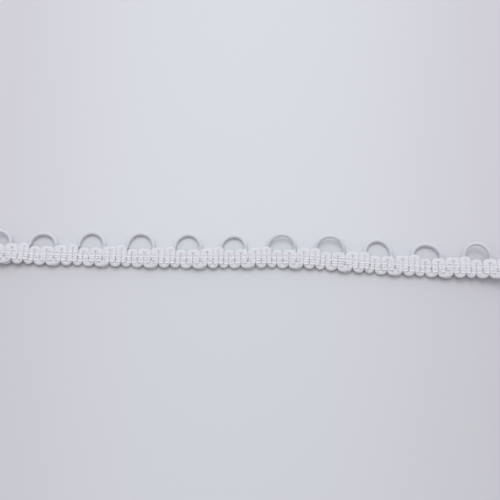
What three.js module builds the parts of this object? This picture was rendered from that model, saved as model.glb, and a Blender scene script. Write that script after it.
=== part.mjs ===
// Elastic button loop tape. A thick filling yarn zigzags across a narrow braid and turns back at both edges, so
// the lower edge is scalloped. Two rows of chain stitch bind it. One covered elastic cord runs through the whole
// length: it crosses behind each large scallop, turns round the lower edge, comes back up, follows the upper
// edge for a short way and then stands out from it in a button loop.
//
// Millimetres. +X runs along the tape, +Y points to the loops, +Z is up from the surface the tape lies on.
// Places on the tape are given as u along it, t across it from the middle of the braid, and z above the surface.

import * as THREE from 'three';

const CLEARANCE = 0.3; // between one yarn and the next

// Elastic cord
const CORD_RADIUS = 0.7;
const CORD_SQUEEZED = { halfWidth: 0.76, halfHeight: 0.55 }; // where the braid presses on it
const CORD_LEG_DOWN = -1.2; // from the middle of a large scallop to where the cord's turn below it begins
const CORD_LEG_UP = 1.6; // and to where it ends
const CORD_TURN_REACH = 3.35; // how far the turn at the lower edge reaches below the middle of the braid
const CORD_ENTRY = 4.5; // where the loop's right leg goes in behind the braid
const CORD_CORNER_RADIUS = 0.9; // of the corner behind the upper edge
const CORD_EDGE = 3.75; // its run along the upper edge, across the tape
const CORD_BEND_RADIUS = 1.05; // from the edge into a loop's left leg
const CORD_EXIT = 5.1; // where the left leg comes out from under the yarn

// Button loops
const LOOP_FOOT = 4.4; // where a loop's round top springs from its two feet, across the tape
const LOOP_FOOT_HEIGHT = 0.75; // of the cord's middle at the feet
const LOOP_STEPS = 10;
const TURN_STEPS = 5;

// Filling yarn
const YARN_HALF_HEIGHT = 0.55;
const YARN_PINCHED = 0.4; // its half height under a stitch
const YARN_FLAT_SHARE = 0.55; // the flat top's share of its width
const YARN_GAP = 0.2; // between two legs
const YARN_TURN_STEPS = 4;
const UPPER_TURN_DEPTH = 1.8; // from where a turn at the upper edge begins to its outside
const LOWER_TURN = -1.45; // where the turns at the lower edge begin, across the tape

// Chain stitch
const STITCH = { halfHeight: 0.17, halfWidth: 0.6, neck: 0.3 };
const STITCH_CLEARANCE = 0.35; // straight up from the yarn, so that it's enough where the yarn slopes too
const WALES = [
  { name: 'chain_upper', across: 0.95 },
  { name: 'chain_lower', across: -1 },
];

// How the tape lies: one long slight bow towards its loops, a shorter bend on top of it, and both ends a little
// off the surface.
const BOW = 0.6;
const BEND = { at: 19.5, height: 1.44, width: 26.3 };
const MIDDLE_LINE = -4.05; // where the middle of the braid is at the two ends, across the box
const LEFT_LIFT = { from: 60, height: 2.9 };
const RIGHT_LIFT = { from: 57, height: 3.2 };

// The scallops from one large one's middle to the next, as shares of the pitch. below: how far the yarn's turn
// reaches below the middle of the braid, and lean: how far its tip stands to the right of the scallop's middle.
// above: how far its next turn reaches above the middle of the braid; two of four lie over the cord. down and
// up: how high the two legs' middles lie, because the cord lifts those that cross it.
const SCALLOPS = [
  { from: 0.153, to: 0.388, below: 3.37, lean: 0, above: 4.8, down: 1.95, up: 1.95 },
  { from: 0.388, to: 0.592, below: 3.25, lean: 0, above: 3.5, down: 1.95, up: 1.6 },
  { from: 0.592, to: 0.847, below: 3.4, lean: 0, above: 3.5, down: 1.5, up: 1.95 },
  { from: 0.847, to: 1.153, below: 3.55, lean: -0.6, above: 4.05, down: 1.95, up: 1.95 },
];

// The button loops from the left. pitch: from the large scallop before the loop to the one its right leg goes
// behind. left: from the first of these to the loop's left foot. right: from the second to its right foot. lean:
// how far its top stands to the right of the middle of its feet. inside: from the braid's nominal edge to the
// inside of its top. top: how high the cord's middle is there.
const BRAID_EDGE = 3.15; // nominal, from the middle of the braid
const LOOPS = [
  { pitch: 17.4, left: 8.5, right: 1.3, lean: 0.5, inside: 5.1, top: 0.95 },
  { pitch: 17.4, left: 8.5, right: 1.2, lean: 0.4, inside: 5, top: 0.95 },
  { pitch: 17.4, left: 8.7, right: 0.8, lean: 0.45, inside: 5.65, top: 0.95 },
  { pitch: 17.4, left: 8.6, right: 0.8, lean: 0.35, inside: 5.8, top: 0.95 },
  { pitch: 17.4, left: 8.4, right: 0.4, lean: 0.35, inside: 5.7, top: 0.9 },
  { pitch: 17.1, left: 7.2, right: -0.45, lean: 0.35, inside: 5.1, top: 1.0 },
  { pitch: 17.1, left: 6.9, right: -0.5, lean: 0.4, inside: 5.3, top: 2.15 },
  { pitch: 17.4, left: 6.9, right: -0.4, lean: 0.1, inside: 5.55, top: 2.2 },
  { pitch: 17.7, left: 6.9, right: -1.2, lean: -0.3, inside: 5.7, top: 0.95 },
  { pitch: 17.9, left: 6.3, right: -1.3, lean: -0.25, inside: 5.15, top: 1.0 },
  { pitch: 17.7, left: 6.6, right: -1.6, lean: -0.5, inside: 5.45, top: 2.2 },
];

const CUT_END = { left: 7.6 }; // the cord ends there, past the last large scallop, as a loop would begin

const lastPitch = LOOPS[LOOPS.length - 1].pitch;
const allPitches = LOOPS.reduce((sum, loop) => sum + loop.pitch, 0);
const LENGTH = allPitches + (SCALLOPS[0].to - SCALLOPS[0].from) * lastPitch;

// The middle of the large scallop before each loop and after the last one.
const middles = [-LENGTH / 2 - SCALLOPS[0].from * LOOPS[0].pitch];
for (const { pitch } of LOOPS) middles.push(middles[middles.length - 1] + pitch);

const lerp = THREE.MathUtils.lerp;
const radians = THREE.MathUtils.degToRad;

// How far the surface lets go of the tape at a place along it.
function lift(u) {
  const half = LENGTH / 2;
  const side = u < 0 ? LEFT_LIFT : RIGHT_LIFT;
  const past = Math.max(0, Math.abs(u) - side.from) / (half - side.from);
  return side.height * past * past;
}

// A place on the tape as a point of the part.
function tapePoint(u, t, z) {
  const share = (2 * u) / LENGTH;
  const fromBend = (u - BEND.at) / BEND.width;
  const bend = BEND.height * Math.exp(-fromBend * fromBend);
  const slope = (-4 * BOW * share) / LENGTH - (2 * fromBend * bend) / BEND.width;
  return new THREE.Vector3(u - t * slope, MIDDLE_LINE + BOW * (1 - share * share) + bend + t, z + lift(u));
}

// A closed solid through a row of stations, each with a place on the tape, a direction to its left, half sizes
// and the outline it carries, with flat ends.
function loft(stations, outline) {
  const positions = [];
  for (const { u, t, z, left, halfWidth, halfHeight } of stations) {
    for (const [side, up] of outline) {
      const out = side * halfWidth;
      positions.push(...tapePoint(u + left[0] * out, t + left[1] * out, z + up * halfHeight).toArray());
    }
  }
  const sides = outline.length;
  const faces = [];
  for (let k = 0; k + 1 < stations.length; k++) {
    for (let i = 0; i < sides; i++) {
      const a = k * sides + i;
      const b = k * sides + ((i + 1) % sides);
      faces.push(a, a + sides, b, b, a + sides, b + sides);
    }
  }
  const last = (stations.length - 1) * sides;
  for (let i = 1; i + 1 < sides; i++) {
    faces.push(0, i, i + 1, last, last + i + 1, last + i);
  }
  const geometry = new THREE.BufferGeometry();
  geometry.setAttribute('position', new THREE.Float32BufferAttribute(positions, 3));
  geometry.setIndex(faces);
  geometry.computeVertexNormals();
  return geometry;
}

// Gives each station of a path the direction to its left, from its neighbours.
function withLeft(path) {
  return path.map((station, k) => {
    const before = path[Math.max(0, k - 1)];
    const after = path[Math.min(path.length - 1, k + 1)];
    const along = Math.hypot(after.u - before.u, after.t - before.t);
    return { ...station, left: [(before.t - after.t) / along, (after.u - before.u) / along] };
  });
}

// Outlines run from the left side, over the bottom, to the right and back over the top.
const flat = YARN_FLAT_SHARE;
const YARN_OUTLINE = [[1, 0], [flat, -1], [-flat, -1], [-1, 0], [-flat, 1], [flat, 1]];
const STITCH_FOOT = 0.6; // its broad side's depth below its middle, as a share
const STITCH_OUTLINE = [[1, -STITCH_FOOT], [-1, -STITCH_FOOT], [-0.5, 1], [0.5, 1]];
const CORNER = Math.tan(radians(22.5));
const CORD_OUTLINE = [
  [1, CORNER], [1, -CORNER], [CORNER, -1], [-CORNER, -1],
  [-1, -CORNER], [-1, CORNER], [-CORNER, 1], [CORNER, 1],
];

// Every leg of the filling yarn in order: one down and one up for each scallop.
function yarnLegs() {
  const legs = [];
  const addScallop = (row, start, pitch, nextPitch) => {
    const from = start + row.from * pitch;
    const to = row.to > 1 ? start + pitch + (row.to - 1) * nextPitch : start + row.to * pitch;
    const quarter = (to - from) / 4;
    const half = quarter - YARN_GAP / 2;
    legs.push({ u: from + quarter, z: row.down, half, row });
    legs.push({ u: to - quarter, z: row.up, half, row });
  };
  LOOPS.forEach(({ pitch }, i) => {
    const nextPitch = i + 1 < LOOPS.length ? LOOPS[i + 1].pitch : lastPitch;
    for (const row of SCALLOPS) addScallop(row, middles[i], pitch, nextPitch);
  });
  addScallop(SCALLOPS[0], middles[LOOPS.length], lastPitch, lastPitch);
  return legs;
}

// The turn from one leg to the next is a fan about a centre between them: its inner side stays near the centre
// and its outer side is half an ellipse, with its tip moved by lean. toward is -1 at the lower edge and 1 at the
// upper.
function yarnTurn(a, b, start, reach, toward, lean) {
  const centre = (a.u + b.u) / 2;
  const inner = YARN_GAP / 2;
  const outerAlong = (b.u - a.u) / 2 + (a.half + b.half) / 2;
  const outerAcross = reach - Math.abs(start);
  const stations = [];
  for (let k = 1; k < YARN_TURN_STEPS; k++) {
    const angle = Math.PI * (1 - k / YARN_TURN_STEPS);
    const along = Math.cos(angle);
    const across = Math.sin(angle);
    const outer = 1 / Math.hypot(along / outerAlong, across / outerAcross);
    const wide = along * (outer - inner) + lean * across;
    const deep = across * (outer - inner) * toward;
    const band = Math.hypot(wide, deep);
    stations.push({
      u: centre + along * inner + wide / 2,
      t: start + across * inner * toward + deep / 2,
      z: lerp(a.z, b.z, k / YARN_TURN_STEPS),
      left: [(wide / band) * toward, (deep / band) * toward],
      halfWidth: band / 2,
      halfHeight: YARN_HALF_HEIGHT,
    });
  }
  return stations;
}

function fillingYarn() {
  const legs = yarnLegs();
  const places = [
    { t: WALES[0].across, halfHeight: YARN_PINCHED },
    { t: (WALES[0].across + WALES[1].across) / 2, halfHeight: YARN_HALF_HEIGHT },
    { t: WALES[1].across, halfHeight: YARN_PINCHED },
    { t: LOWER_TURN, halfHeight: YARN_HALF_HEIGHT },
  ];
  const stations = [];
  const addLeg = (leg, order, left) => {
    for (const place of order) stations.push({ u: leg.u, z: leg.z, left, halfWidth: leg.half, ...place });
  };
  const upward = [...places].reverse();
  const cutEnd = BRAID_EDGE - YARN_HALF_HEIGHT;
  let top = cutEnd;
  for (let k = 0; k < legs.length; k += 2) {
    const [down, up, next] = legs.slice(k, k + 3);
    addLeg(down, [{ t: top, halfHeight: YARN_HALF_HEIGHT }, ...places], [1, 0]);
    stations.push(...yarnTurn(down, up, LOWER_TURN, down.row.below, -1, down.row.lean));
    top = next ? up.row.above - UPPER_TURN_DEPTH : cutEnd;
    addLeg(up, [...upward, { t: top, halfHeight: YARN_HALF_HEIGHT }], [-1, 0]);
    if (next) stations.push(...yarnTurn(up, next, top, up.row.above, 1, 0));
  }
  return loft(stations, YARN_OUTLINE);
}

function elasticCord() {
  const free = { halfWidth: CORD_RADIUS, halfHeight: CORD_RADIUS };
  const low = { z: CORD_SQUEEZED.halfHeight, ...CORD_SQUEEZED };
  const path = [];

  // From the middle of a large scallop to where the leg that comes back up meets the upper edge, clear of the
  // leg that goes down.
  const upperCorner = (right) => Math.max(CORD_LEG_UP, right + 2 * CORD_SQUEEZED.halfWidth + CLEARANCE);

  // Along the upper edge as far as the bend into a loop.
  const runAlongEdge = (middle, cornerAt, { left }) => {
    path.push({ u: middle + cornerAt + CORD_CORNER_RADIUS, t: CORD_EDGE, ...low });
    path.push({ u: middle + left - CORD_BEND_RADIUS, t: CORD_EDGE, ...low });
  };

  // Round the bend, out from under the yarn into the loop and back towards its right foot.
  const loopOut = (middle, nextMiddle, { left, right, lean, inside, top }) => {
    const leftFoot = middle + left;
    const rightFoot = nextMiddle + right;
    const diagonal = CORD_BEND_RADIUS * Math.SQRT1_2;
    path.push({
      u: leftFoot - CORD_BEND_RADIUS + diagonal,
      t: CORD_EDGE + CORD_BEND_RADIUS - diagonal,
      ...low,
    });
    path.push({ u: leftFoot, t: CORD_EXIT, ...low });
    const centre = (leftFoot + rightFoot) / 2;
    const halfWide = (rightFoot - leftFoot) / 2;
    const tall = BRAID_EDGE + inside + CORD_RADIUS - LOOP_FOOT;
    for (let k = 1; k < LOOP_STEPS; k++) {
      const angle = Math.PI * (1 - k / LOOP_STEPS);
      const rise = Math.sin(angle);
      path.push({
        u: centre + halfWide * Math.cos(angle) + lean * rise,
        t: LOOP_FOOT + tall * rise,
        z: lerp(LOOP_FOOT_HEIGHT, top, rise),
        ...free,
      });
    }
  };

  // Down behind the large scallop, round the lower edge and back up to the corner at the upper edge.
  const crossBehind = (middle, { right }) => {
    const radius = (CORD_LEG_UP - CORD_LEG_DOWN) / 2;
    const turnStart = radius + CORD_SQUEEZED.halfWidth - CORD_TURN_REACH;
    for (const share of [0, 0.35, 0.7]) {
      path.push({
        u: middle + lerp(right, CORD_LEG_DOWN, share),
        t: lerp(CORD_ENTRY, turnStart, share),
        ...low,
      });
    }
    for (let k = 0; k <= TURN_STEPS; k++) {
      const angle = Math.PI * (1 + k / TURN_STEPS);
      path.push({
        u: middle + CORD_LEG_DOWN + radius * (1 + Math.cos(angle)),
        t: turnStart + radius * Math.sin(angle),
        ...low,
      });
    }
    const cornerAt = upperCorner(right);
    const cornerStart = CORD_EDGE - CORD_CORNER_RADIUS;
    for (const share of [0.5, 1]) {
      path.push({
        u: middle + lerp(CORD_LEG_UP, cornerAt, share),
        t: lerp(turnStart, cornerStart, share),
        ...low,
      });
    }
    const diagonal = CORD_CORNER_RADIUS * Math.SQRT1_2;
    path.push({ u: middle + cornerAt + CORD_CORNER_RADIUS - diagonal, t: cornerStart + diagonal, ...low });
  };

  runAlongEdge(middles[0], CORD_LEG_UP, LOOPS[0]);
  LOOPS.forEach((loop, i) => {
    loopOut(middles[i], middles[i + 1], loop);
    crossBehind(middles[i + 1], loop);
    const next = LOOPS[i + 1] ?? CUT_END;
    runAlongEdge(middles[i + 1], upperCorner(loop.right), next);
  });
  return loft(withLeft(path), CORD_OUTLINE);
}

// One stitch lies over each leg of the yarn, broad on the leg and narrow between two legs.
function chainRow(across) {
  const seat = YARN_HALF_HEIGHT + STITCH_CLEARANCE + STITCH_FOOT * STITCH.halfHeight;
  const stations = [];
  yarnLegs().forEach((leg, k, legs) => {
    const common = { t: across, left: [0, 1], halfHeight: STITCH.halfHeight };
    if (k === 0) stations.push({ ...common, u: leg.u - leg.half, z: leg.z + seat, halfWidth: STITCH.neck });
    stations.push({ ...common, u: leg.u, z: leg.z + seat, halfWidth: STITCH.halfWidth });
    const next = legs[k + 1];
    const u = next ? (leg.u + next.u) / 2 : leg.u + leg.half;
    const z = next ? Math.max(leg.z, next.z) : leg.z;
    stations.push({ ...common, u, z: z + seat, halfWidth: STITCH.neck });
  });
  return loft(stations, STITCH_OUTLINE);
}

function piece(name, geometry, color, roughness) {
  const mesh = new THREE.Mesh(geometry, new THREE.MeshStandardMaterial({ color, roughness, metalness: 0 }));
  mesh.name = name;
  return mesh;
}

const tape = new THREE.Group();
tape.add(piece('gimp_yarn', fillingYarn(), 0xf2f2f6, 0.85));
tape.add(piece('elastic_cord', elasticCord(), 0xeeeef4, 0.7));
for (const { name, across } of WALES) tape.add(piece(name, chainRow(across), 0xf6f6fa, 0.6));

export default tape;
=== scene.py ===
"""Elastic button loop tape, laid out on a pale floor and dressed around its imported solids."""

import logging
import math
from abc import ABC, abstractmethod
from collections.abc import Mapping
from dataclasses import dataclass, field
from enum import Enum
from typing import Any

import bpy
import numpy as np
from mathutils import Matrix, Vector


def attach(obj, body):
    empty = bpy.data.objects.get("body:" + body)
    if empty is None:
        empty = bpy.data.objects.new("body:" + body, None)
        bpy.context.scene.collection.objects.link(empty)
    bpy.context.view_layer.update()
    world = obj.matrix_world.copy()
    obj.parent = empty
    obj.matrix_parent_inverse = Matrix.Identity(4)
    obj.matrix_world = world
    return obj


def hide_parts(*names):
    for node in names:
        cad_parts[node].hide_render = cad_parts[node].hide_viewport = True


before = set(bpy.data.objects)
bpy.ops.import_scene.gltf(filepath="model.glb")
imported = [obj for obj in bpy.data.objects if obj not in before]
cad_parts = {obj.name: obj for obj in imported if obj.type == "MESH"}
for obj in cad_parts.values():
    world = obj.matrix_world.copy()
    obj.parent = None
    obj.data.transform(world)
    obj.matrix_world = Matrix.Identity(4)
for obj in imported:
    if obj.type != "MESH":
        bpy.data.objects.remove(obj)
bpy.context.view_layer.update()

LOG = logging.getLogger("button_loop_tape")
MM = 0.001
BODY = "root"
YARN_MAP = "YarnRun"  # along the yarn in millimetres, and round it as a share of a turn
SEED = 1189
OUTLINE_POINTS = 721
UP = (0.0, 0.0, 1.0)


class Edge(Enum):
    """The braid's two edges, as the direction across the tape that a turn of yarn points to."""

    LOWER = -1
    UPPER = 1


@dataclass(frozen=True)
class Scallop:
    """One scallop between two large ones, as shares of the pitch, with its reach and height.

    below and above are how far the yarn's two turns reach from the middle of the braid. lean is how far the
    tip of the lower one stands to the right, square how square it is, and slit how far apart its legs are
    above it. down and up are the heights of the two legs' middles.
    """

    start: float
    end: float
    below: float
    lean: float
    square: float
    slit: float
    above: float
    down: float
    up: float


@dataclass(frozen=True)
class ButtonLoop:
    """One button loop: its pitch, its two feet, its lean, and the height and reach of its top."""

    pitch: float
    left: float
    right: float
    lean: float
    inside: float
    top: float


@dataclass(frozen=True)
class StitchRow:
    """One row of chain stitch: its node and its place across the braid.

    neck_off is how far the stitches' necks are from that place, and slit_sink how deep they lie in the slits.
    """

    node: str
    across: float
    neck_off: float
    slit_sink: float


@dataclass(frozen=True)
class Leg:
    """One leg of the filling yarn across the braid.

    side is -1 left of its scallop's middle and 1 right of it.
    """

    u: float
    z: float
    half: float
    side: int
    scallop: Scallop


SCALLOPS = (
    Scallop(start=0.153, end=0.388, below=3.37, lean=0.0, square=2.1, slit=0.1, above=4.5,
            down=1.95, up=1.95),
    Scallop(start=0.388, end=0.592, below=3.25, lean=0.0, square=2.1, slit=0.1, above=3.5,
            down=1.95, up=1.6),
    Scallop(start=0.592, end=0.847, below=3.4, lean=0.0, square=2.1, slit=0.14, above=3.5,
            down=1.5, up=1.95),
    Scallop(start=0.847, end=1.153, below=3.55, lean=-0.8, square=1.8, slit=0.24, above=4.05,
            down=1.95, up=1.95),
)

BUTTON_LOOPS = (
    ButtonLoop(pitch=17.4, left=8.5, right=1.3, lean=0.5, inside=5.1, top=0.95),
    ButtonLoop(pitch=17.4, left=8.2, right=0.1, lean=0.0, inside=4.8, top=0.95),
    ButtonLoop(pitch=17.4, left=8.25, right=0.1, lean=0.0, inside=5.65, top=0.95),
    ButtonLoop(pitch=17.4, left=8.25, right=0.5, lean=0.0, inside=5.8, top=0.95),
    ButtonLoop(pitch=17.4, left=7.95, right=0.1, lean=0.1, inside=5.7, top=0.9),
    ButtonLoop(pitch=17.1, left=7.2, right=-0.85, lean=0.35, inside=5.1, top=1.0),
    ButtonLoop(pitch=17.1, left=6.85, right=-0.6, lean=0.3, inside=5.05, top=2.6),
    ButtonLoop(pitch=17.4, left=6.7, right=-0.6, lean=0.05, inside=5.3, top=2.65),
    ButtonLoop(pitch=17.7, left=6.9, right=-1.2, lean=-0.3, inside=5.7, top=0.95),
    ButtonLoop(pitch=17.9, left=6.3, right=-1.3, lean=-0.25, inside=5.15, top=1.0),
    ButtonLoop(pitch=17.7, left=6.6, right=-1.75, lean=-0.6, inside=5.45, top=2.2),
)


STITCH_ROWS = (
    StitchRow(node="chain_upper", across=0.85, neck_off=-0.28, slit_sink=0.55),
    StitchRow(node="chain_lower", across=-1.15, neck_off=0.42, slit_sink=0.8),
)


@dataclass(frozen=True)
class TapeCourse:
    """Where the braid runs.

    Places on it are u along it, t across from its middle and z above the surface, in millimetres.
    """

    loops: tuple[ButtonLoop, ...] = BUTTON_LOOPS
    scallops: tuple[Scallop, ...] = SCALLOPS
    rows: tuple[StitchRow, ...] = STITCH_ROWS
    yarn_gap: float = 0.06
    pinch_low: tuple[float, float] = (1.3, 0.3)
    pinch_high: tuple[float, float] = (1.8, 0.49)
    bow: float = 0.6
    bend_at: float = 19.5
    bend_height: float = 1.44
    bend_width: float = 26.3
    middle_line: float = -4.05
    left_lift_from: float = 60.0
    left_lift: float = 2.9
    right_lift_from: float = 57.0
    right_lift: float = 3.2

    @property
    def last_pitch(self) -> float:
        """The pitch that the cut end goes on with."""
        return self.loops[-1].pitch

    @property
    def length(self) -> float:
        """The braid's length."""
        first = self.scallops[0]
        return sum(loop.pitch for loop in self.loops) + (first.end - first.start) * self.last_pitch

    def middles(self) -> list[float]:
        """Where the large scallops are.

        Returns:
            The middle of the one before each button loop, and of the one after the last.
        """
        places = [-self.length / 2 - self.scallops[0].start * self.loops[0].pitch]
        for loop in self.loops:
            places.append(places[-1] + loop.pitch)
        return places

    def legs(self) -> list[Leg]:
        """Where the filling yarn goes across.

        Returns:
            Every leg of it, from the left.
        """
        made: list[Leg] = []
        middles = self.middles()
        pitches = [loop.pitch for loop in self.loops] + [self.last_pitch] * 2
        rows = [(i, row) for i in range(len(self.loops)) for row in self.scallops]
        rows.append((len(self.loops), self.scallops[0]))
        for i, row in rows:
            start = middles[i] + row.start * pitches[i]
            end = middles[i] + row.end * pitches[i]
            if row.end > 1:
                end = middles[i + 1] + (row.end - 1) * pitches[i + 1]
            quarter = (end - start) / 4
            half = quarter - self.yarn_gap / 2
            made.append(Leg(start + quarter, row.down, half, -1, row))
            made.append(Leg(end - quarter, row.up, half, 1, row))
        return made

    def pinch(self, height: np.ndarray | float) -> np.ndarray:
        """The yarn's half height under a stitch, by how high the yarn lies: the flatter the lower."""
        heights, halves = zip(self.pinch_low, self.pinch_high)
        return np.interp(height, heights, halves)

    def place(self, flat: np.ndarray) -> np.ndarray:
        """Lays places on the tape down on the floor.

        Args:
            flat: Places as u, t and z in the last axis, in millimetres.

        Returns:
            The same places in the frame, in metres.
        """
        u, t, z = flat[..., 0], flat[..., 1], flat[..., 2]
        half = self.length / 2
        share = u / half
        from_bend = (u - self.bend_at) / self.bend_width
        bend = self.bend_height * np.exp(-(from_bend**2))
        slope = -2 * self.bow * share / half - 2 * from_bend * bend / self.bend_width
        y = self.middle_line + self.bow * (1 - share**2) + bend + t
        left = np.maximum(0, -u - self.left_lift_from) / (half - self.left_lift_from)
        right = np.maximum(0, u - self.right_lift_from) / (half - self.right_lift_from)
        lift = self.left_lift * left**2 + self.right_lift * right**2
        return np.stack([u - t * slope, y, z + lift], axis=-1) * MM


@dataclass
class Thread:
    """A yarn's middle line on the tape, with its section's two directions and half sizes, a row a ring."""

    middle: np.ndarray
    left: np.ndarray
    up: np.ndarray
    half: np.ndarray

    @property
    def along(self) -> np.ndarray:
        """The length of the middle line up to each ring."""
        return lengths_to(self.middle)

    def around(self, offset: np.ndarray) -> np.ndarray:
        """The places at these offsets to the left and up from the middle of each ring."""
        left, up = offset[..., :1], offset[..., 1:]
        return self.middle[:, None] + self.left[:, None] * left + self.up[:, None] * up


def lengths_to(places: np.ndarray) -> np.ndarray:
    """The length of a line up to each of its places."""
    return np.concatenate([[0.0], np.cumsum(np.linalg.norm(np.diff(places, axis=0), axis=1))])


def smooth_noise(count: int, reach: float, seed: int) -> np.ndarray:
    """Gives gentle random waves.

    Args:
        count: How many values.
        reach: How many values a wave is wide.
        seed: The random seed.

    Returns:
        Values with a spread of about one.
    """
    raw = np.random.default_rng(seed).standard_normal(count)
    window = np.exp(-0.5 * (np.arange(-3 * reach, 3 * reach + 1) / reach) ** 2)
    window /= np.sqrt((window**2).sum())
    pad = len(window)
    wide = np.concatenate([raw[:pad], raw, raw[-pad:]])
    return np.convolve(wide, window, mode="same")[pad : pad + count]


def resample(path: np.ndarray, step: float, softness: float) -> np.ndarray:
    """Puts rows at even steps along a path and rounds its corners.

    Args:
        path: A row a place: u, t, z and any further values.
        step: The distance between the new rows.
        softness: How far the rounding reaches.

    Returns:
        The new rows.
    """
    at = lengths_to(path[:, :3])
    count = int(round(at[-1] / step)) + 1
    even = np.linspace(0, at[-1], count)
    rows = np.stack([np.interp(even, at, column) for column in path.T], axis=1)
    reach = max(1, int(round(3 * softness / step)))
    window = np.exp(-0.5 * (np.arange(-reach, reach + 1) * step / softness) ** 2)
    window /= window.sum()
    first, last = 2 * rows[0] - rows[reach:0:-1], 2 * rows[-1] - rows[-2 : -reach - 2 : -1]
    wide = np.concatenate([first, rows, last])
    return np.stack([np.convolve(column, window, mode="valid") for column in wide.T], axis=1)


def smooth_step(share: np.ndarray) -> np.ndarray:
    """Eases from 0 to 1 as a share goes from 0 to 1, and stays there outside."""
    held = np.clip(share, 0, 1)
    return held * held * (3 - 2 * held)


def unit(vectors: np.ndarray) -> np.ndarray:
    """The vectors at length one."""
    return vectors / np.linalg.norm(vectors, axis=-1, keepdims=True)


def squared(wave: np.ndarray, squareness: float) -> np.ndarray:
    """A sine or cosine of a turn that is a circle at squareness 2, and squarer above it."""
    return np.sign(wave) * np.abs(wave) ** (2 / squareness)


def new_object(name: str, data: bpy.types.ID) -> bpy.types.Object:
    """Puts a mesh, a light or a camera into the scene.

    Args:
        name: The object's name.
        data: What it shows.

    Returns:
        The object.
    """
    made = bpy.data.objects.new(name, data)
    bpy.context.scene.collection.objects.link(made)
    return made


@dataclass(frozen=True)
class Section:
    """A yarn's section: a rounded outline and the plies that show round it."""

    sides: int
    squareness: float
    plies: int
    ply_depth: float
    lay: float
    ply_roundness: float = 0.9

    def outline(self, share: np.ndarray, flatness: float) -> np.ndarray:
        """The outline at even lengths round it.

        Args:
            share: Places round it, as shares of a turn.
            flatness: The section's width over its height.

        Returns:
            Side and up shares for each place, between -1 and 1.
        """
        angle = np.linspace(0, 2 * math.pi, OUTLINE_POINTS)
        side, up = squared(np.cos(angle), self.squareness), squared(np.sin(angle), self.squareness)
        at = lengths_to(np.stack([side * flatness, up], axis=1))
        turn = (share % 1.0) * at[-1]
        return np.stack([np.interp(turn, at, side), np.interp(turn, at, up)], axis=-1)

    def rings(self, thread: Thread) -> np.ndarray:
        """The skin of a yarn, with its plies as ridges that wind round it.

        Args:
            thread: The yarn's middle line.

        Returns:
            Points on the tape, as ring, side and axis.
        """
        sides = np.arange(self.sides) / self.sides
        across = (sides * self.plies) % 1.0 - 0.5
        relief = self.ply_depth * (np.sqrt(1 - self.ply_roundness * (2 * across) ** 2) - 1)
        share = sides[None, :] + thread.along[:, None] / self.lay
        flatness = float(np.mean(thread.half[:, 0] / thread.half[:, 1]))
        size = thread.half[:, None, :] + relief[None, :, None]
        return thread.around(self.outline(share, flatness) * size)


class Finish(ABC):
    """What a yarn's surface is made of."""

    @abstractmethod
    def material(self) -> bpy.types.Material:
        """Makes the material."""


class TapePiece(ABC):
    """One yarn of the tape, which builds its own object, puts on its finish and rides on the tape's body."""

    course: TapeCourse
    name: str
    node: str

    @abstractmethod
    def thread(self) -> Thread:
        """The yarn's middle line with its sizes."""

    @abstractmethod
    def skin(self, thread: Thread) -> np.ndarray:
        """The yarn's skin as ring, side and axis, on the tape and in millimetres."""

    def build(self) -> bpy.types.Object:
        """Makes the yarn's closed tube, smooth and with its own map.

        Returns:
            The object, linked to the scene.
        """
        thread = self.thread()
        along = thread.along
        rings = self.course.place(self.skin(thread))
        count, sides = rings.shape[:2]
        grid = np.arange(count * sides).reshape(count, sides)
        after = np.roll(grid, -1, axis=1)
        quads = np.stack([grid[:-1], after[:-1], after[1:], grid[1:]], axis=-1).reshape(-1, 4)
        first = np.stack([np.full(sides, count * sides), after[0], grid[0]], axis=-1)
        last = np.stack([np.full(sides, count * sides + 1), grid[-1], after[-1]], axis=-1)
        points = np.concatenate([rings.reshape(-1, 3), rings[:1].mean(1), rings[-1:].mean(1)])
        mesh = bpy.data.meshes.new(self.name)
        mesh.from_pydata(points.tolist(), [], quads.tolist() + first.tolist() + last.tolist())
        layer = mesh.uv_layers.new(name=YARN_MAP, do_init=False)
        layer.uv.foreach_set("vector", self.map_corners(along, sides).astype(np.float32).ravel())
        mesh.shade_smooth()
        mesh.update()
        return new_object(self.name, mesh)

    @staticmethod
    def map_corners(along: np.ndarray, sides: int) -> np.ndarray:
        """The tube's map: the length along the yarn, and the share of a turn round it.

        Args:
            along: The length up to each ring.
            sides: How many sides a ring has.

        Returns:
            A place for each corner of the side faces and then of the two ends.
        """
        run, turn = np.meshgrid(along, np.arange(sides + 1) / sides, indexing="ij")
        spots = np.stack([run, turn], axis=-1)
        corners = np.stack([spots[:-1, :-1], spots[:-1, 1:], spots[1:, 1:], spots[1:, :-1]], axis=2)
        ends = np.zeros((2, sides, 3, 2))
        ends[1, ..., 0] = along[-1]
        return np.concatenate([corners.reshape(-1, 2), ends.reshape(-1, 2)])

    def dress(self, finish: Finish) -> None:
        """Builds the yarn, puts on its finish and gives it its place in the frame.

        Args:
            finish: What its surface is made of.
        """
        piece = self.build()
        piece.data.materials.append(finish.material())
        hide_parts(self.node)
        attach(piece, BODY)
        self.node
        triangles = sum(len(face.vertices) - 2 for face in piece.data.polygons)
        LOG.info("%s: %d triangles", piece.name, triangles)


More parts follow.
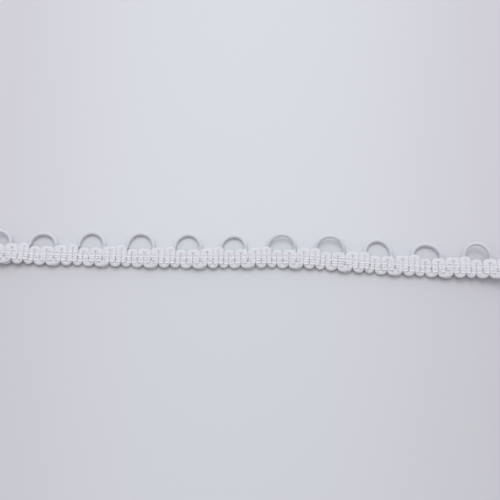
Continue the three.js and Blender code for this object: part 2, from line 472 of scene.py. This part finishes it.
@dataclass
class GimpYarn(TapePiece):
    """The thick, soft filling yarn: a zigzag with a leg each way in every scallop."""

    course: TapeCourse
    name: str = "gimp_yarn_twisted"
    node: str = "gimp_yarn"
    half_height: float = 0.55
    stitch_reach: float = 0.52
    opening: float = -0.14
    closing: float = -0.1
    opening_run: float = 0.6
    slit_from: float = 0.2
    gap_from: float = 1.0
    lower_spring: float = 1.65
    lower_inside: float = 1.4
    upper_spring: float = 1.9
    upper_width: float = 1.7
    upper_squareness: float = 2.5
    cut_at: float = 2.6
    step: float = 0.2
    droop: float = 0.4
    leaning_droop: float = 0.2
    stitch_swell: float = 0.03
    unevenness: float = 0.03
    thick_run: int = 9
    wave_run: int = 12
    section: Section = field(default_factory=lambda: Section(36, 2.25, 10, 0.13, 45.0))

    def leg_rows(self, leg: Leg, start: float, end: float) -> np.ndarray:
        """The middle line of a leg, which makes room for the inside of the turn at each of its ends.

        Args:
            leg: The leg.
            start: Where it starts, across the tape.
            end: Where it ends.

        Returns:
            Rows of u, t, z and half width.
        """
        t = np.linspace(start, end, max(4, round(abs(end - start) / self.step)) + 1)
        upper = smooth_step((t - self.gap_from) / self.opening_run)
        slit = leg.scallop.slit * smooth_step((self.slit_from - t) / self.opening_run) + self.closing * upper
        gap = self.opening * upper
        half = leg.half - (slit + gap) / 2
        u = leg.u + leg.side * (slit - gap) / 2
        return np.stack([u, t, np.full_like(t, leg.z), half], axis=1)

    def turn_rows(self, a: np.ndarray, b: np.ndarray, row: Scallop, edge: Edge) -> np.ndarray:
        """The middle line of a turn between two legs.

        Args:
            a: The last row of the leg before it.
            b: The first row of the leg after it.
            row: The scallop whose sizes it takes.
            edge: The edge that it is at.

        Returns:
            Rows as in leg_rows.
        """
        spring = abs(a[1])
        reach, inside, squareness, lean = row.below, self.lower_inside, row.square, row.lean
        if edge is Edge.UPPER:
            reach, squareness, lean = row.above, self.upper_squareness, 0.0
            inside = reach - self.upper_width
        rise = (reach + inside) / 2 - spring
        wide = (b[0] - a[0]) / 2
        count = max(10, round(math.pi * max(rise, wide) / self.step))
        share = np.arange(1, count) / count
        angle = math.pi * (1 - share)
        along, across = squared(np.cos(angle), squareness), squared(np.sin(angle), squareness)
        ease = smooth_step(share)
        z = a[2] + (b[2] - a[2]) * ease
        if edge is Edge.LOWER:
            z = z - (self.leaning_droop if lean else self.droop) * np.sin(angle)
        side = a[3] + (b[3] - a[3]) * ease
        half = side + ((reach - inside) / 2 - side) * np.sin(angle) ** 3
        u = (a[0] + b[0]) / 2 + along * wide + lean * across
        return np.stack([u, edge.value * (spring + across * rise), z, half], axis=1)

    def rows_in_order(self) -> np.ndarray:
        """The whole zigzag, leg by leg and turn by turn.

        Returns:
            Rows as in leg_rows.
        """
        legs = self.course.legs()
        low = -self.lower_spring
        made: list[np.ndarray] = []
        top = self.cut_at
        for k in range(0, len(legs), 2):
            down, up = legs[k], legs[k + 1]
            falling = self.leg_rows(down, top, low)
            row = up.scallop
            top = row.above - self.upper_spring if k + 2 < len(legs) else self.cut_at
            rising = self.leg_rows(up, low, top)
            if made:
                made.append(self.turn_rows(made[-1][-1], falling[0], legs[k - 1].scallop, Edge.UPPER))
            turn = self.turn_rows(falling[-1], rising[0], row, Edge.LOWER)
            made += [falling, turn, rising]
        return np.concatenate(made)

    def thread(self) -> Thread:
        """The whole zigzag, pressed in under each stitch.

        Returns:
            The yarn's middle line with its sizes.
        """
        table = self.rows_in_order()
        middle, t = table[:, :3].copy(), table[:, 1]
        flat = np.gradient(table[:, :2], axis=0)
        left = unit(np.stack([-flat[:, 1], flat[:, 0], np.zeros(len(t))], axis=1))
        press = sum(np.exp(-(((t - row.across) / self.stitch_reach) ** 4)) for row in self.course.rows)
        tall = self.half_height + (self.course.pinch(middle[:, 2]) - self.half_height) * press
        half = np.stack([table[:, 3] + self.stitch_swell * press, tall], axis=1)
        half *= 1 + self.unevenness * smooth_noise(len(t), self.thick_run, SEED)[:, None]
        middle[:, 2] += self.unevenness * smooth_noise(len(t), self.wave_run, SEED + 1)
        return Thread(middle, left, np.tile(UP, (len(t), 1)), half)

    def skin(self, thread: Thread) -> np.ndarray:
        """The yarn's skin, with its plies."""
        return self.section.rings(thread)


@dataclass
class ElasticCord(TapePiece):
    """The covered elastic: behind the large scallops, along the upper edge and out into the button loops."""

    course: TapeCourse
    name: str = "elastic_cord_braided"
    node: str = "elastic_cord"
    radius: float = 0.7
    squeezed: tuple[float, float] = (0.76, 0.55)
    leg_down: float = -1.0
    leg_up: float = 2.0
    turn_reach: float = 3.6
    turn_lift: float = 0.4
    entry: float = 4.5
    corner_radius: float = 0.9
    edge: float = 3.75
    bend_radius: float = 1.05
    foot_height: float = 0.75
    loop_foot: float = 4.4
    loop_free: float = 5.1
    braid_edge: float = 3.15
    clearance: float = 0.3
    cut_left: float = 7.6
    press_reach: float = 0.35
    press_lift: float = 0.16
    press_depth: float = 0.18
    turn_steps: int = 16
    loop_steps: int = 36
    step: float = 0.18
    softness: float = 0.34
    sides: int = 32
    carriers: int = 8
    plait: float = 0.75
    plait_depth: float = 0.035

    def low(self, u: float, t: float) -> list[float]:
        """A place where the cord lies flat on the surface."""
        return [u, t, self.squeezed[1], *self.squeezed]

    def edge_run(self, middle: float, corner: float, left: float) -> list[list[float]]:
        """Along the upper edge as far as the bend into the loop.

        Args:
            middle: The middle of the large scallop before it.
            corner: How far past that the cord comes up.
            left: How far past that the loop's left foot is.

        Returns:
            Rows of u, t, z, half width and half height.
        """
        return [
            self.low(middle + corner + self.corner_radius, self.edge),
            self.low(middle + left - self.bend_radius, self.edge),
        ]

    def loop_out(self, left_foot: float, right_foot: float, loop: ButtonLoop) -> list[list[float]]:
        """Round the bend, out into a button loop and back to its right foot.

        Args:
            left_foot: Where the loop's left foot is, along the tape.
            right_foot: Where its right foot is.
            loop: The loop's sizes.

        Returns:
            Rows of u, t, z, half width and half height.
        """
        rows: list[list[float]] = []
        for share in (0.25, 0.5, 0.75):
            angle = math.pi / 2 * share
            low = self.low(left_foot - self.bend_radius * (1 - math.sin(angle)),
                           self.edge + self.bend_radius * (1 - math.cos(angle)))
            free = [*low[:2], self.foot_height, self.radius, self.radius]
            rows.append([near + (far - near) * share for near, far in zip(low, free)])
        centre, wide = (left_foot + right_foot) / 2, (right_foot - left_foot) / 2
        tall = self.braid_edge + loop.inside + self.radius - self.loop_foot
        for k in range(self.loop_steps + 1):
            angle = math.pi * (1 - k / self.loop_steps)
            rise = math.sin(angle)
            if self.loop_foot + tall * rise < self.loop_free:
                continue
            rows.append([
                centre + wide * math.cos(angle) + loop.lean * rise,
                self.loop_foot + tall * rise,
                self.foot_height + (loop.top - self.foot_height) * rise,
                self.radius,
                self.radius,
            ])
        return rows

    def cross_behind(self, middle: float, loop: ButtonLoop) -> list[list[float]]:
        """Down behind a large scallop, round the lower edge and back up to the upper edge.

        Args:
            middle: The middle of the large scallop.
            loop: The button loop before it.

        Returns:
            Rows as in loop_out.
        """
        radius = (self.leg_up - self.leg_down) / 2
        turn = radius + self.squeezed[0] - self.turn_reach
        rows = [
            self.low(middle + loop.right + (self.leg_down - loop.right) * share,
                     self.entry + (turn - self.entry) * share)
            for share in (0.0, 0.2, 0.4, 0.6, 0.8)
        ]
        for k in range(self.turn_steps + 1):
            share = k / self.turn_steps
            angle = math.pi * (1 + share)
            place = self.low(middle + self.leg_down + radius * (1 + math.cos(angle)),
                             turn + radius * math.sin(angle))
            place[2] += self.turn_lift * max(0.0, math.sin(math.pi * (share - 0.25)))
            rows.append(place)
        corner, start = self.corner(loop.right), self.edge - self.corner_radius
        for share in (0.25, 0.5, 0.75, 1.0):
            rows.append(self.low(middle + self.leg_up + (corner - self.leg_up) * share,
                                 turn + (start - turn) * share))
        for share in (0.33, 0.67):
            angle = math.pi / 2 * share
            rows.append(self.low(middle + corner + self.corner_radius * (1 - math.cos(angle)),
                                 start + self.corner_radius * math.sin(angle)))
        return rows

    def corner(self, right: float) -> float:
        """Where the leg that comes back up meets the upper edge, past the middle of the large scallop."""
        return max(self.leg_up, right + 2 * self.squeezed[0] + self.clearance)

    def path(self) -> np.ndarray:
        """The whole route at even steps, pressed up by the back of each stitch row.

        Returns:
            Rows of u, t, z, half width and half height.
        """
        middles = self.course.middles()
        loops = self.course.loops
        rows = self.edge_run(middles[0], self.leg_up, loops[0].left)
        for i, loop in enumerate(loops):
            rows += self.loop_out(middles[i] + loop.left, middles[i + 1] + loop.right, loop)
            rows += self.cross_behind(middles[i + 1], loop)
            left = loops[i + 1].left if i + 1 < len(loops) else self.cut_left
            rows += self.edge_run(middles[i + 1], self.corner(loop.right), left)
        path = resample(np.array(rows), self.step, self.softness)
        off = [path[:, 1] - row.across for row in self.course.rows]
        press = sum(np.exp(-((away / self.press_reach) ** 2)) for away in off)
        path[:, 2] += self.press_lift * press
        path[:, 4] -= self.press_depth * press
        return path

    def thread(self) -> Thread:
        """The cord's middle line with the directions of its section.

        Returns:
            The cord as a thread.
        """
        path = self.path()
        middle = path[:, :3]
        ahead = unit(np.gradient(middle, axis=0))
        left = unit(np.cross(UP, ahead))
        return Thread(middle, left, np.cross(ahead, left), path[:, 3:5])

    def plait_relief(self, along: np.ndarray, share: np.ndarray) -> np.ndarray:
        """How far the braided cover stands out: two sets of yarns that pass over and under each other.

        Args:
            along: The length up to each ring.
            share: Places round the cord.

        Returns:
            Heights from 0 to 1, as ring and side.
        """
        one = self.carriers * share[None, :] + along[:, None] / self.plait
        other = self.carriers * share[None, :] - along[:, None] / self.plait
        over = (np.floor(one) + np.floor(other)) % 2 < 1
        across = np.where(over, one % 1.0, other % 1.0) - 0.5
        run = np.where(over, other % 1.0, one % 1.0) - 0.5
        return (1 - (2 * across) ** 2) * (1 - 0.35 * (2 * run) ** 2)

    def skin(self, thread: Thread) -> np.ndarray:
        """The cord's skin, with its braided cover.

        Args:
            thread: The cord's middle line.

        Returns:
            Points on the tape, as ring, side and axis.
        """
        share = np.arange(self.sides) / self.sides
        angle = 2 * math.pi * share
        relief = self.plait_depth * (self.plait_relief(thread.along, share) - 1)
        size = thread.half[:, None, :] + relief[..., None]
        return thread.around(np.stack([np.cos(angle), np.sin(angle)], axis=-1)[None] * size)

    def crossings(self, across: float) -> np.ndarray:
        """Where the cord crosses a line along the tape.

        Args:
            across: The line's place across the tape.

        Returns:
            Places along the tape.
        """
        path = self.path()
        t = path[:, 1] - across
        at = np.nonzero(t[:-1] * t[1:] < 0)[0]
        return path[at, 0]


@dataclass
class ChainRow(TapePiece):
    """A row of chain stitch: one thread that loops over each leg and runs on behind to the next stitch."""

    course: TapeCourse
    row: StitchRow
    cord_at: np.ndarray
    thread_radius: float = 0.24
    bedded: float = 0.35
    loop_half: float = 0.56
    base_half: float = 0.18
    head_ahead: float = 0.15
    gap_sink: float = 0.6
    slant: float = 0.1
    cord_reach: float = 1.15
    section: Section = field(default_factory=lambda: Section(6, 2.0, 1, 0.0, 1.0))
    samples: int = 4

    @property
    def node(self) -> str:
        """The solid that the row stands for."""
        return self.row.node

    @property
    def name(self) -> str:
        """The object's name."""
        return f"{self.row.node}_stitches"

    def top(self, leg: Leg) -> float:
        """How high the thread lies on a leg."""
        return leg.z + float(self.course.pinch(leg.z)) + self.thread_radius - self.bedded

    def back_height(self, u: float, leg: Leg) -> float:
        """How high the thread runs behind the braid: under the yarn, and lower where the cord is between.

        Args:
            u: The place along the tape.
            leg: The leg that the thread passes there.

        Returns:
            The height of the thread's middle.
        """
        free = leg.z - self.course.pinch(leg.z) - self.thread_radius
        near = float(np.exp(-((np.abs(self.cord_at - u).min() / self.cord_reach) ** 4)))
        return free + (self.thread_radius - free) * near

    def stitch(self, leg: Leg, start: float, end: float, before: Leg, after: Leg) -> list[list[float]]:
        """The thread's places for one stitch.

        Args:
            leg: The leg that the stitch lies over.
            start: The neck before it, along the tape.
            end: The neck after it.
            before: The leg before it.
            after: The leg after it.

        Returns:
            Rows of u, t and z.
        """
        sink_in, sink_out = self.gap_sink, self.row.slit_sink
        if leg.side > 0:
            sink_in, sink_out = sink_out, sink_in
        neck_in = (self.top(leg) + self.top(before)) / 2 - sink_in
        neck_out = (self.top(leg) + self.top(after)) / 2 - sink_out
        back_in, back_out = self.back_height(start, leg), self.back_height(end, leg)
        back_mid = self.back_height(leg.u, leg)
        over, side, base, neck = self.top(leg) + 0.02, self.loop_half, self.base_half, self.row.neck_off
        rows = [
            [start - 0.02, neck - base, (back_in + neck_in) / 2],
            [start + 0.08, neck - base * 1.1, neck_in + 0.05],
            [leg.u - 0.5 * leg.half, -side, over],
            [leg.u + 0.4 * leg.half, -side, over],
            [end - 0.05, (neck - side) * 0.6, neck_out + 0.12],
            [end + self.head_ahead, neck - base, neck_out],
            [end + self.head_ahead, neck + base, neck_out],
            [end - 0.05, (neck + side) * 0.6, neck_out + 0.12],
            [leg.u + 0.4 * leg.half, side, over],
            [leg.u - 0.5 * leg.half, side, over],
            [start + 0.08, neck + base * 1.1, neck_in + 0.05],
            [start - 0.02, neck + base, (back_in + neck_in) / 2],
            [start + 0.1, neck + base * 0.6, back_in],
            [leg.u, neck, back_mid],
            [end - 0.12, neck - base * 0.6, back_out],
        ]
        return [[u, self.row.across + t + self.slant * (u - leg.u), z] for u, t, z in rows]

    def thread(self) -> Thread:
        """The whole row's thread as one smooth line.

        Returns:
            The thread with its section's directions.
        """
        legs = self.course.legs()
        rows: list[list[float]] = []
        for k, leg in enumerate(legs):
            before = legs[k - 1] if k else leg
            after = legs[k + 1] if k + 1 < len(legs) else leg
            start = (leg.u + before.u) / 2 if k else leg.u - leg.half
            end = (leg.u + after.u) / 2 if after is not leg else leg.u + leg.half
            rows += self.stitch(leg, start, end, before, after)
        middle = self.through(np.array(rows))
        ahead = unit(np.gradient(middle, axis=0))
        left = self.carried(ahead)
        half = np.full((len(middle), 2), self.thread_radius)
        return Thread(middle, left, np.cross(ahead, left), half)

    def through(self, rows: np.ndarray) -> np.ndarray:
        """A smooth line through places.

        Args:
            rows: The places.

        Returns:
            The line's points.
        """
        p0, p1, p2, p3 = rows[:-3], rows[1:-2], rows[2:-1], rows[3:]
        made = []
        for s in np.arange(self.samples) / self.samples:
            made.append(0.5 * (2 * p1 + (p2 - p0) * s + (2 * p0 - 5 * p1 + 4 * p2 - p3) * s**2
                               + (3 * p1 - p0 - 3 * p2 + p3) * s**3))
        return np.stack(made, axis=1).reshape(-1, 3)

    def carried(self, ahead: np.ndarray) -> np.ndarray:
        """A direction across the line that doesn't turn about it.

        Args:
            ahead: The line's direction at each point.

        Returns:
            The direction to the left at each point.
        """
        left = np.zeros_like(ahead)
        current = unit(np.cross(UP, ahead[0] + [1e-6, 0, 0]))
        for k, direction in enumerate(ahead):
            current = current - direction * float(current @ direction)
            current = current / float(np.sqrt(current @ current))
            left[k] = current
        return left

    def skin(self, thread: Thread) -> np.ndarray:
        """The thread's round skin."""
        return self.section.rings(thread)


@dataclass(frozen=True)
class Value:
    """A socket of a node, so that sums on it add Math nodes."""

    board: "NodeBoard"
    socket: bpy.types.NodeSocket

    def __add__(self, other: "Value | float") -> "Value":
        """The sum of two values."""
        return self.board.math("ADD", self, other)

    __radd__ = __add__

    def __sub__(self, other: "Value | float") -> "Value":
        """The difference of two values."""
        return self.board.math("SUBTRACT", self, other)

    def __rsub__(self, other: float) -> "Value":
        """The difference of a number and this."""
        return self.board.math("SUBTRACT", other, self)

    def __mul__(self, other: "Value | float") -> "Value":
        """The product of two values."""
        return self.board.math("MULTIPLY", self, other)

    __rmul__ = __mul__

    def __truediv__(self, other: "Value | float") -> "Value":
        """The quotient of two values."""
        return self.board.math("DIVIDE", self, other)

    def __pow__(self, other: float) -> "Value":
        """This value to a power."""
        return self.board.math("POWER", self, other)

    def __mod__(self, other: float) -> "Value":
        """What is left of this value over a whole number of steps, never below 0."""
        return self.board.math("FLOORED_MODULO", self, other)

    def __abs__(self) -> "Value":
        """This value without its sign."""
        return self.board.math("ABSOLUTE", self)

    def sine(self) -> "Value":
        """The sine of this value in radians."""
        return self.board.math("SINE", self)


class NodeBoard:
    """A tree of nodes, in which a finish or the room's light is built."""

    def __init__(self, tree: bpy.types.NodeTree) -> None:
        """Takes a tree and clears it.

        Args:
            tree: The tree of a material or a world.
        """
        self.tree = tree
        self.tree.nodes.clear()

    def node(self, kind: str, settings: Mapping[str, Any] | None = None,
             sockets: Mapping[str | int, Any] | None = None) -> bpy.types.Node:
        """Adds a node.

        Args:
            kind: The node's type.
            settings: Its properties, set first.
            sockets: Values or links for its input sockets.

        Returns:
            The node.
        """
        made = self.tree.nodes.new(kind)
        for key, value in (settings or {}).items():
            setattr(made, key, value)
        for key, value in (sockets or {}).items():
            self.feed(made.inputs[key], value)
        return made

    def feed(self, target: bpy.types.NodeSocket, value: Any) -> None:
        """Gives a socket a link or a constant.

        Args:
            target: The socket.
            value: A Value to link, or the constant.
        """
        if isinstance(value, Value):
            self.tree.links.new(value.socket, target)
        else:
            target.default_value = value

    def math(self, operation: str, *terms: "Value | float") -> Value:
        """Adds a Math node for these terms."""
        made = self.node("ShaderNodeMath", {"operation": operation}, dict(enumerate(terms)))
        return Value(self, made.outputs[0])

    def axes(self, place: Value) -> tuple[Value, Value]:
        """The first two numbers of a place."""
        parts = self.node("ShaderNodeSeparateXYZ", None, {0: place})
        return Value(self, parts.outputs["X"]), Value(self, parts.outputs["Y"])

    def vector(self, x: "Value | float", y: "Value | float", z: "Value | float" = 0.0) -> Value:
        """Three values as one vector."""
        return Value(self, self.node("ShaderNodeCombineXYZ", None, {0: x, 1: y, 2: z}).outputs[0])

    def spot(self, output: str) -> Value:
        """A place from the Texture Coordinate node."""
        return Value(self, self.node("ShaderNodeTexCoord").outputs[output])

    def spread(self, value: Value, start: float, end: float, low: float = 0.0, high: float = 1.0,
               kind: str = "LINEAR") -> Value:
        """Brings a value from one range to another and holds it there.

        Args:
            value: The value.
            start: Where the first range starts.
            end: Where it ends.
            low: Where the other range starts.
            high: Where it ends.
            kind: How it goes from one to the other.

        Returns:
            The new value.
        """
        made = self.node("ShaderNodeMapRange", {"interpolation_type": kind},
                         {"Value": value, "From Min": start, "From Max": end, "To Min": low, "To Max": high})
        return Value(self, made.outputs["Result"])

    def noise(self, at: Value, scale: float, detail: float = 2.0) -> Value:
        """Soft noise from 0 to 1 at a place."""
        made = self.node("ShaderNodeTexNoise", None, {"Vector": at, "Scale": scale, "Detail": detail})
        return Value(self, made.outputs["Fac"])

    def blend(self, share: Value, low: tuple[float, ...], high: tuple[float, ...]) -> Value:
        """A colour between two, by a share."""
        made = self.node("ShaderNodeMix", {"data_type": "RGBA", "clamp_factor": True},
                         {0: share, 6: (*low, 1.0), 7: (*high, 1.0)})
        return Value(self, made.outputs[2])

    def scaled(self, colour: Value, share: Value) -> Value:
        """A colour times a value."""
        made = self.node("ShaderNodeVectorMath", {"operation": "SCALE"}, {0: colour, "Scale": share})
        return Value(self, made.outputs[0])


class Shader(NodeBoard):
    """A material's nodes, built around one Principled BSDF."""

    def __init__(self, name: str) -> None:
        """Starts the material with its output and its surface shader.

        Args:
            name: The material's name.
        """
        self.material = bpy.data.materials.new(name)
        self.material.use_nodes = True
        super().__init__(self.material.node_tree)
        self.surface = self.node("ShaderNodeBsdfPrincipled")
        self.node("ShaderNodeOutputMaterial", None, {"Surface": Value(self, self.surface.outputs["BSDF"])})

    def yarn_run(self) -> tuple[Value, Value]:
        """The place along the yarn in millimetres, and the share of a turn round it."""
        spot = self.node("ShaderNodeUVMap", {"uv_map": YARN_MAP})
        return self.axes(Value(self, spot.outputs["UV"]))

    def bump(self, height: Value, depth: float) -> Value:
        """The normal that a height in shares of a depth in millimetres gives."""
        made = self.node("ShaderNodeBump", None, {"Height": height, "Distance": depth * MM})
        return Value(self, made.outputs["Normal"])

    def set(self, **inputs: Any) -> None:
        """Feeds the surface shader's inputs, named with underscores for spaces."""
        for key, value in inputs.items():
            self.feed(self.surface.inputs[key.replace("_", " ")], value)


@dataclass(frozen=True)
class GimpFinish(Finish):
    """Soft white filling yarn: matt, with fine fibres along its plies, and painted shade in the grooves
    between the plies.
    """

    name: str = "soft_filling_yarn"
    crest: tuple[float, float, float] = (0.755, 0.767, 0.80)
    groove_shade_and_dim_fibre: tuple[float, float, float] = (0.685, 0.695, 0.73)
    plies: int = 10
    filament_twist: float = 1.3
    ply_groove_shade: float = 0.75
    fibre_tone: float = 0.35
    cloud_tone: float = 0.2
    darkest: float = -0.12
    relief: float = 0.05
    roughness: float = 0.82
    softness: float = 0.4
    glow: tuple[float, float, float] = (1.0, 0.95, 0.9)
    glow_depth: float = 0.5
    sheen: float = 0.15

    def material(self) -> bpy.types.Material:
        """Makes the material.

        Returns:
            The material, from the map along and round the yarn.
        """
        shader = Shader(self.name)
        along, turn = shader.yarn_run()
        across = turn * self.plies
        # Painted shade: the colour darkens from each ply's crest into the groove between plies; the fibre and
        # cloud noise add random tone.
        from_crest = abs(across % 1.0 - 0.5) * 2.0
        fibres = shader.noise(shader.vector(along * 0.9, across * 5.0), 1.6, 3.0)
        twist = (along * (2 * math.pi / self.filament_twist) + across * (2 * math.pi)).sine()
        cloud = shader.noise(shader.vector(along * 0.12, turn * 0.6), 1.0)
        shade = ((1 - from_crest**2.0) * self.ply_groove_shade + fibres * self.fibre_tone
                 + cloud * self.cloud_tone + self.darkest)
        height = fibres * 0.6 + twist * 0.25
        shader.set(
            Base_Color=shader.blend(shade, self.groove_shade_and_dim_fibre, self.crest),
            Roughness=self.roughness - 0.1 * fibres,
            Subsurface_Weight=self.softness,
            Subsurface_Radius=self.glow,
            Subsurface_Scale=self.glow_depth * MM,
            Sheen_Weight=self.sheen,
            Sheen_Roughness=0.45,
            Normal=shader.bump(height, self.relief),
        )
        return shader.material


@dataclass(frozen=True)
class CordFinish(Finish):
    """The braided cover of the elastic: filament yarn with a faint sheen, and painted shade in the gaps where
    its plaited yarns meet.
    """

    name: str = "braided_elastic_cover"
    crest: tuple[float, float, float] = (0.715, 0.74, 0.785)
    groove_shade_and_dim_fibre: tuple[float, float, float] = (0.58, 0.603, 0.65)
    carriers: int = 8
    plait: float = 0.75
    filaments: int = 4
    lightest: float = 0.95
    gap_shade: float = 0.8
    fibre_tone: float = 0.3
    relief: float = 0.03
    roughness: float = 0.55
    sheen: float = 0.15

    def material(self) -> bpy.types.Material:
        """Makes the material.

        Returns:
            The material, from the map along and round the cord.
        """
        shader = Shader(self.name)
        along, turn = shader.yarn_run()
        one = turn * self.carriers + along * (1 / self.plait)
        other = turn * self.carriers - along * (1 / self.plait)
        rate = 2 * math.pi * self.filaments
        ridges = (one * rate).sine() * 0.5 + (other * rate).sine() * 0.5
        # Painted shade: the colour darkens in the gaps where the two sets of plaited yarns meet; the fibre
        # noise adds random tone.
        gap = abs(one % 1.0 - 0.5) * abs(other % 1.0 - 0.5) * 4.0
        fibres = shader.noise(shader.vector(along, turn * 12.0), 2.5, 2.0)
        shade = self.lightest - gap * self.gap_shade + (fibres - 0.5) * self.fibre_tone
        shader.set(
            Base_Color=shader.blend(shade, self.groove_shade_and_dim_fibre, self.crest),
            Roughness=self.roughness + 0.15 * gap,
            Sheen_Weight=self.sheen,
            Sheen_Roughness=0.35,
            Normal=shader.bump(ridges * 0.3 + fibres * 0.4, self.relief),
        )
        return shader.material


@dataclass(frozen=True)
class StitchFinish(Finish):
    """The binding thread: two fine plies twisted together, brighter than the yarn, with painted shade along
    the groove between its plies.
    """

    name: str
    crest: tuple[float, float, float] = (0.94, 0.945, 0.97)
    groove_shade_and_dim_fibre: tuple[float, float, float] = (0.83, 0.835, 0.87)
    twist: float = 0.55
    middle_shade: float = 0.65
    ply_groove_shade: float = 0.35
    fibre_tone: float = 0.3
    relief: float = 0.04
    softness: float = 0.4
    glow: tuple[float, float, float] = (1.0, 0.95, 0.9)
    glow_depth: float = 0.3
    roughness: float = 0.5
    sheen: float = 0.12

    def material(self) -> bpy.types.Material:
        """Makes the material.

        Returns:
            The material, from the map along and round the thread.
        """
        shader = Shader(self.name)
        along, turn = shader.yarn_run()
        # Painted shade: the colour darkens along the groove between the two plies; the fibre noise adds
        # random tone.
        plies = (along * (2 * math.pi / self.twist) + turn * (4 * math.pi)).sine()
        fibres = shader.noise(shader.vector(along, turn * 3.0), 4.0, 2.0)
        shade = plies * self.ply_groove_shade + self.middle_shade + (fibres - 0.5) * self.fibre_tone
        shader.set(
            Base_Color=shader.blend(shade, self.groove_shade_and_dim_fibre, self.crest),
            Roughness=self.roughness + 0.1 * fibres,
            Subsurface_Weight=self.softness,
            Subsurface_Radius=self.glow,
            Subsurface_Scale=self.glow_depth * MM,
            Sheen_Weight=self.sheen,
            Sheen_Roughness=0.35,
            Normal=shader.bump(plies * 0.5 + fibres * 0.3, self.relief),
        )
        return shader.material


@dataclass
class Studio:
    """The pale floor, the soft light and the camera.

    Sizes are in metres, but the camera's target and distance are in millimetres.
    """

    floor_size: float = 3.0
    # The floor's colours paint light and shade: palest in the middle, dimmer at the sides and darker in front
    # of the tape.
    lit_floor_middle: tuple[float, float, float] = (0.715, 0.75, 0.772)
    dim_floor_sides: tuple[float, float, float] = (0.66, 0.657, 0.696)
    light_pool_reach: float = 0.09
    front_shade_tone: float = 0.942
    front_shade_reach: float = 0.014
    floor_mottle: float = 0.012
    window_place: tuple[float, float, float] = (-0.03, 0.19, 0.54)
    window_size: float = 0.4
    window_watts: float = 1.14
    window_colour: tuple[float, float, float] = (0.97, 0.985, 1.0)
    room_front: tuple[float, float, float] = (0.43, 0.385, 0.385)
    room_back: tuple[float, float, float] = (0.91, 0.93, 0.98)
    room_reach: float = 0.8
    target: tuple[float, float, float] = (3.92, 1.21, 1.0)
    distance: float = 298.7
    elevation: float = 70.0
    turned: float = 1.96
    lens: float = 60.0

    def floor(self) -> None:
        """Makes the floor, with a painted pool of light that is palest in the middle and painted shade a
        little darker in front of the tape.
        """
        half = self.floor_size / 2
        corners = [(-half, -half, 0), (half, -half, 0), (half, half, 0), (-half, half, 0)]
        mesh = bpy.data.meshes.new("floor")
        mesh.from_pydata(corners, [], [(0, 1, 2, 3)])
        made = new_object("floor", mesh)
        shader = Shader("pale_floor")
        spot = shader.spot("Object")
        side, back = shader.axes(spot)
        # Painted light: the floor is palest in the middle and dimmer towards the sides, like a pool of light.
        colour = shader.blend(abs(side / self.light_pool_reach) ** 2.0, self.lit_floor_middle, self.dim_floor_sides)
        # Painted shade: the floor is a little darker in front of the tape, on the side away from the light.
        near = self.front_shade_reach
        share = shader.spread(back, -near, near, self.front_shade_tone, 1.0, "SMOOTHSTEP")
        tone = share - self.floor_mottle * shader.noise(spot, 900.0, 2.0)
        shader.set(Base_Color=shader.scaled(colour, tone), Roughness=0.85)
        mesh.materials.append(shader.material)

    def window(self) -> None:
        """Makes the square soft light on the window's side, which faces the tape."""
        data = bpy.data.lights.new("window_side", "AREA")
        data.size = self.window_size
        data.energy = self.window_watts
        data.color = self.window_colour
        made = new_object("window_side", data)
        made.location = Vector(self.window_place)
        made.rotation_euler = (-made.location).to_track_quat("-Z", "Y").to_euler()

    def room(self) -> None:
        """Makes the light that the room gives: dim and warm from the front, bright and cool from the back."""
        world = bpy.data.worlds.new("soft_room")
        world.use_nodes = True
        board = NodeBoard(world.node_tree)
        _, back = board.axes(board.spot("Generated"))
        share = board.spread(back, -self.room_reach, self.room_reach)
        tone = board.blend(share, self.room_front, self.room_back)
        glow = board.node("ShaderNodeBackground", None, {"Color": tone})
        board.node("ShaderNodeOutputWorld", None, {"Surface": Value(board, glow.outputs["Background"])})
        bpy.context.scene.world = world

    def camera(self) -> None:
        """Makes the camera at the photograph's viewing angle."""
        data = bpy.data.cameras.new("camera")
        data.lens = self.lens
        data.sensor_width = 36.0
        data.clip_start = 0.01
        rise = math.radians(self.elevation)
        straight = Vector((0, -math.cos(rise), math.sin(rise)))
        back = Matrix.Rotation(math.radians(self.turned), 3, "Z") @ straight
        made = new_object("camera", data)
        made.location = Vector(self.target) * MM + back * self.distance * MM
        made.rotation_euler = back.to_track_quat("Z", "Y").to_euler()
        bpy.context.scene.camera = made

    def build(self) -> None:
        """Makes the whole studio."""
        self.floor()
        self.window()
        self.room()
        self.camera()
        bpy.context.scene.view_settings.view_transform = "Standard"


def main() -> None:
    """Builds the studio and the tape, piece by piece."""
    logging.basicConfig(level=logging.INFO, format="%(name)s %(message)s")
    Studio().build()
    course = TapeCourse()
    GimpYarn(course).dress(GimpFinish())
    cord = ElasticCord(course)
    cord.dress(CordFinish())
    for row in course.rows:
        ChainRow(course, row, cord.crossings(row.across)).dress(StitchFinish(f"{row.node}_thread"))


if __name__ == "__main__":
    main()
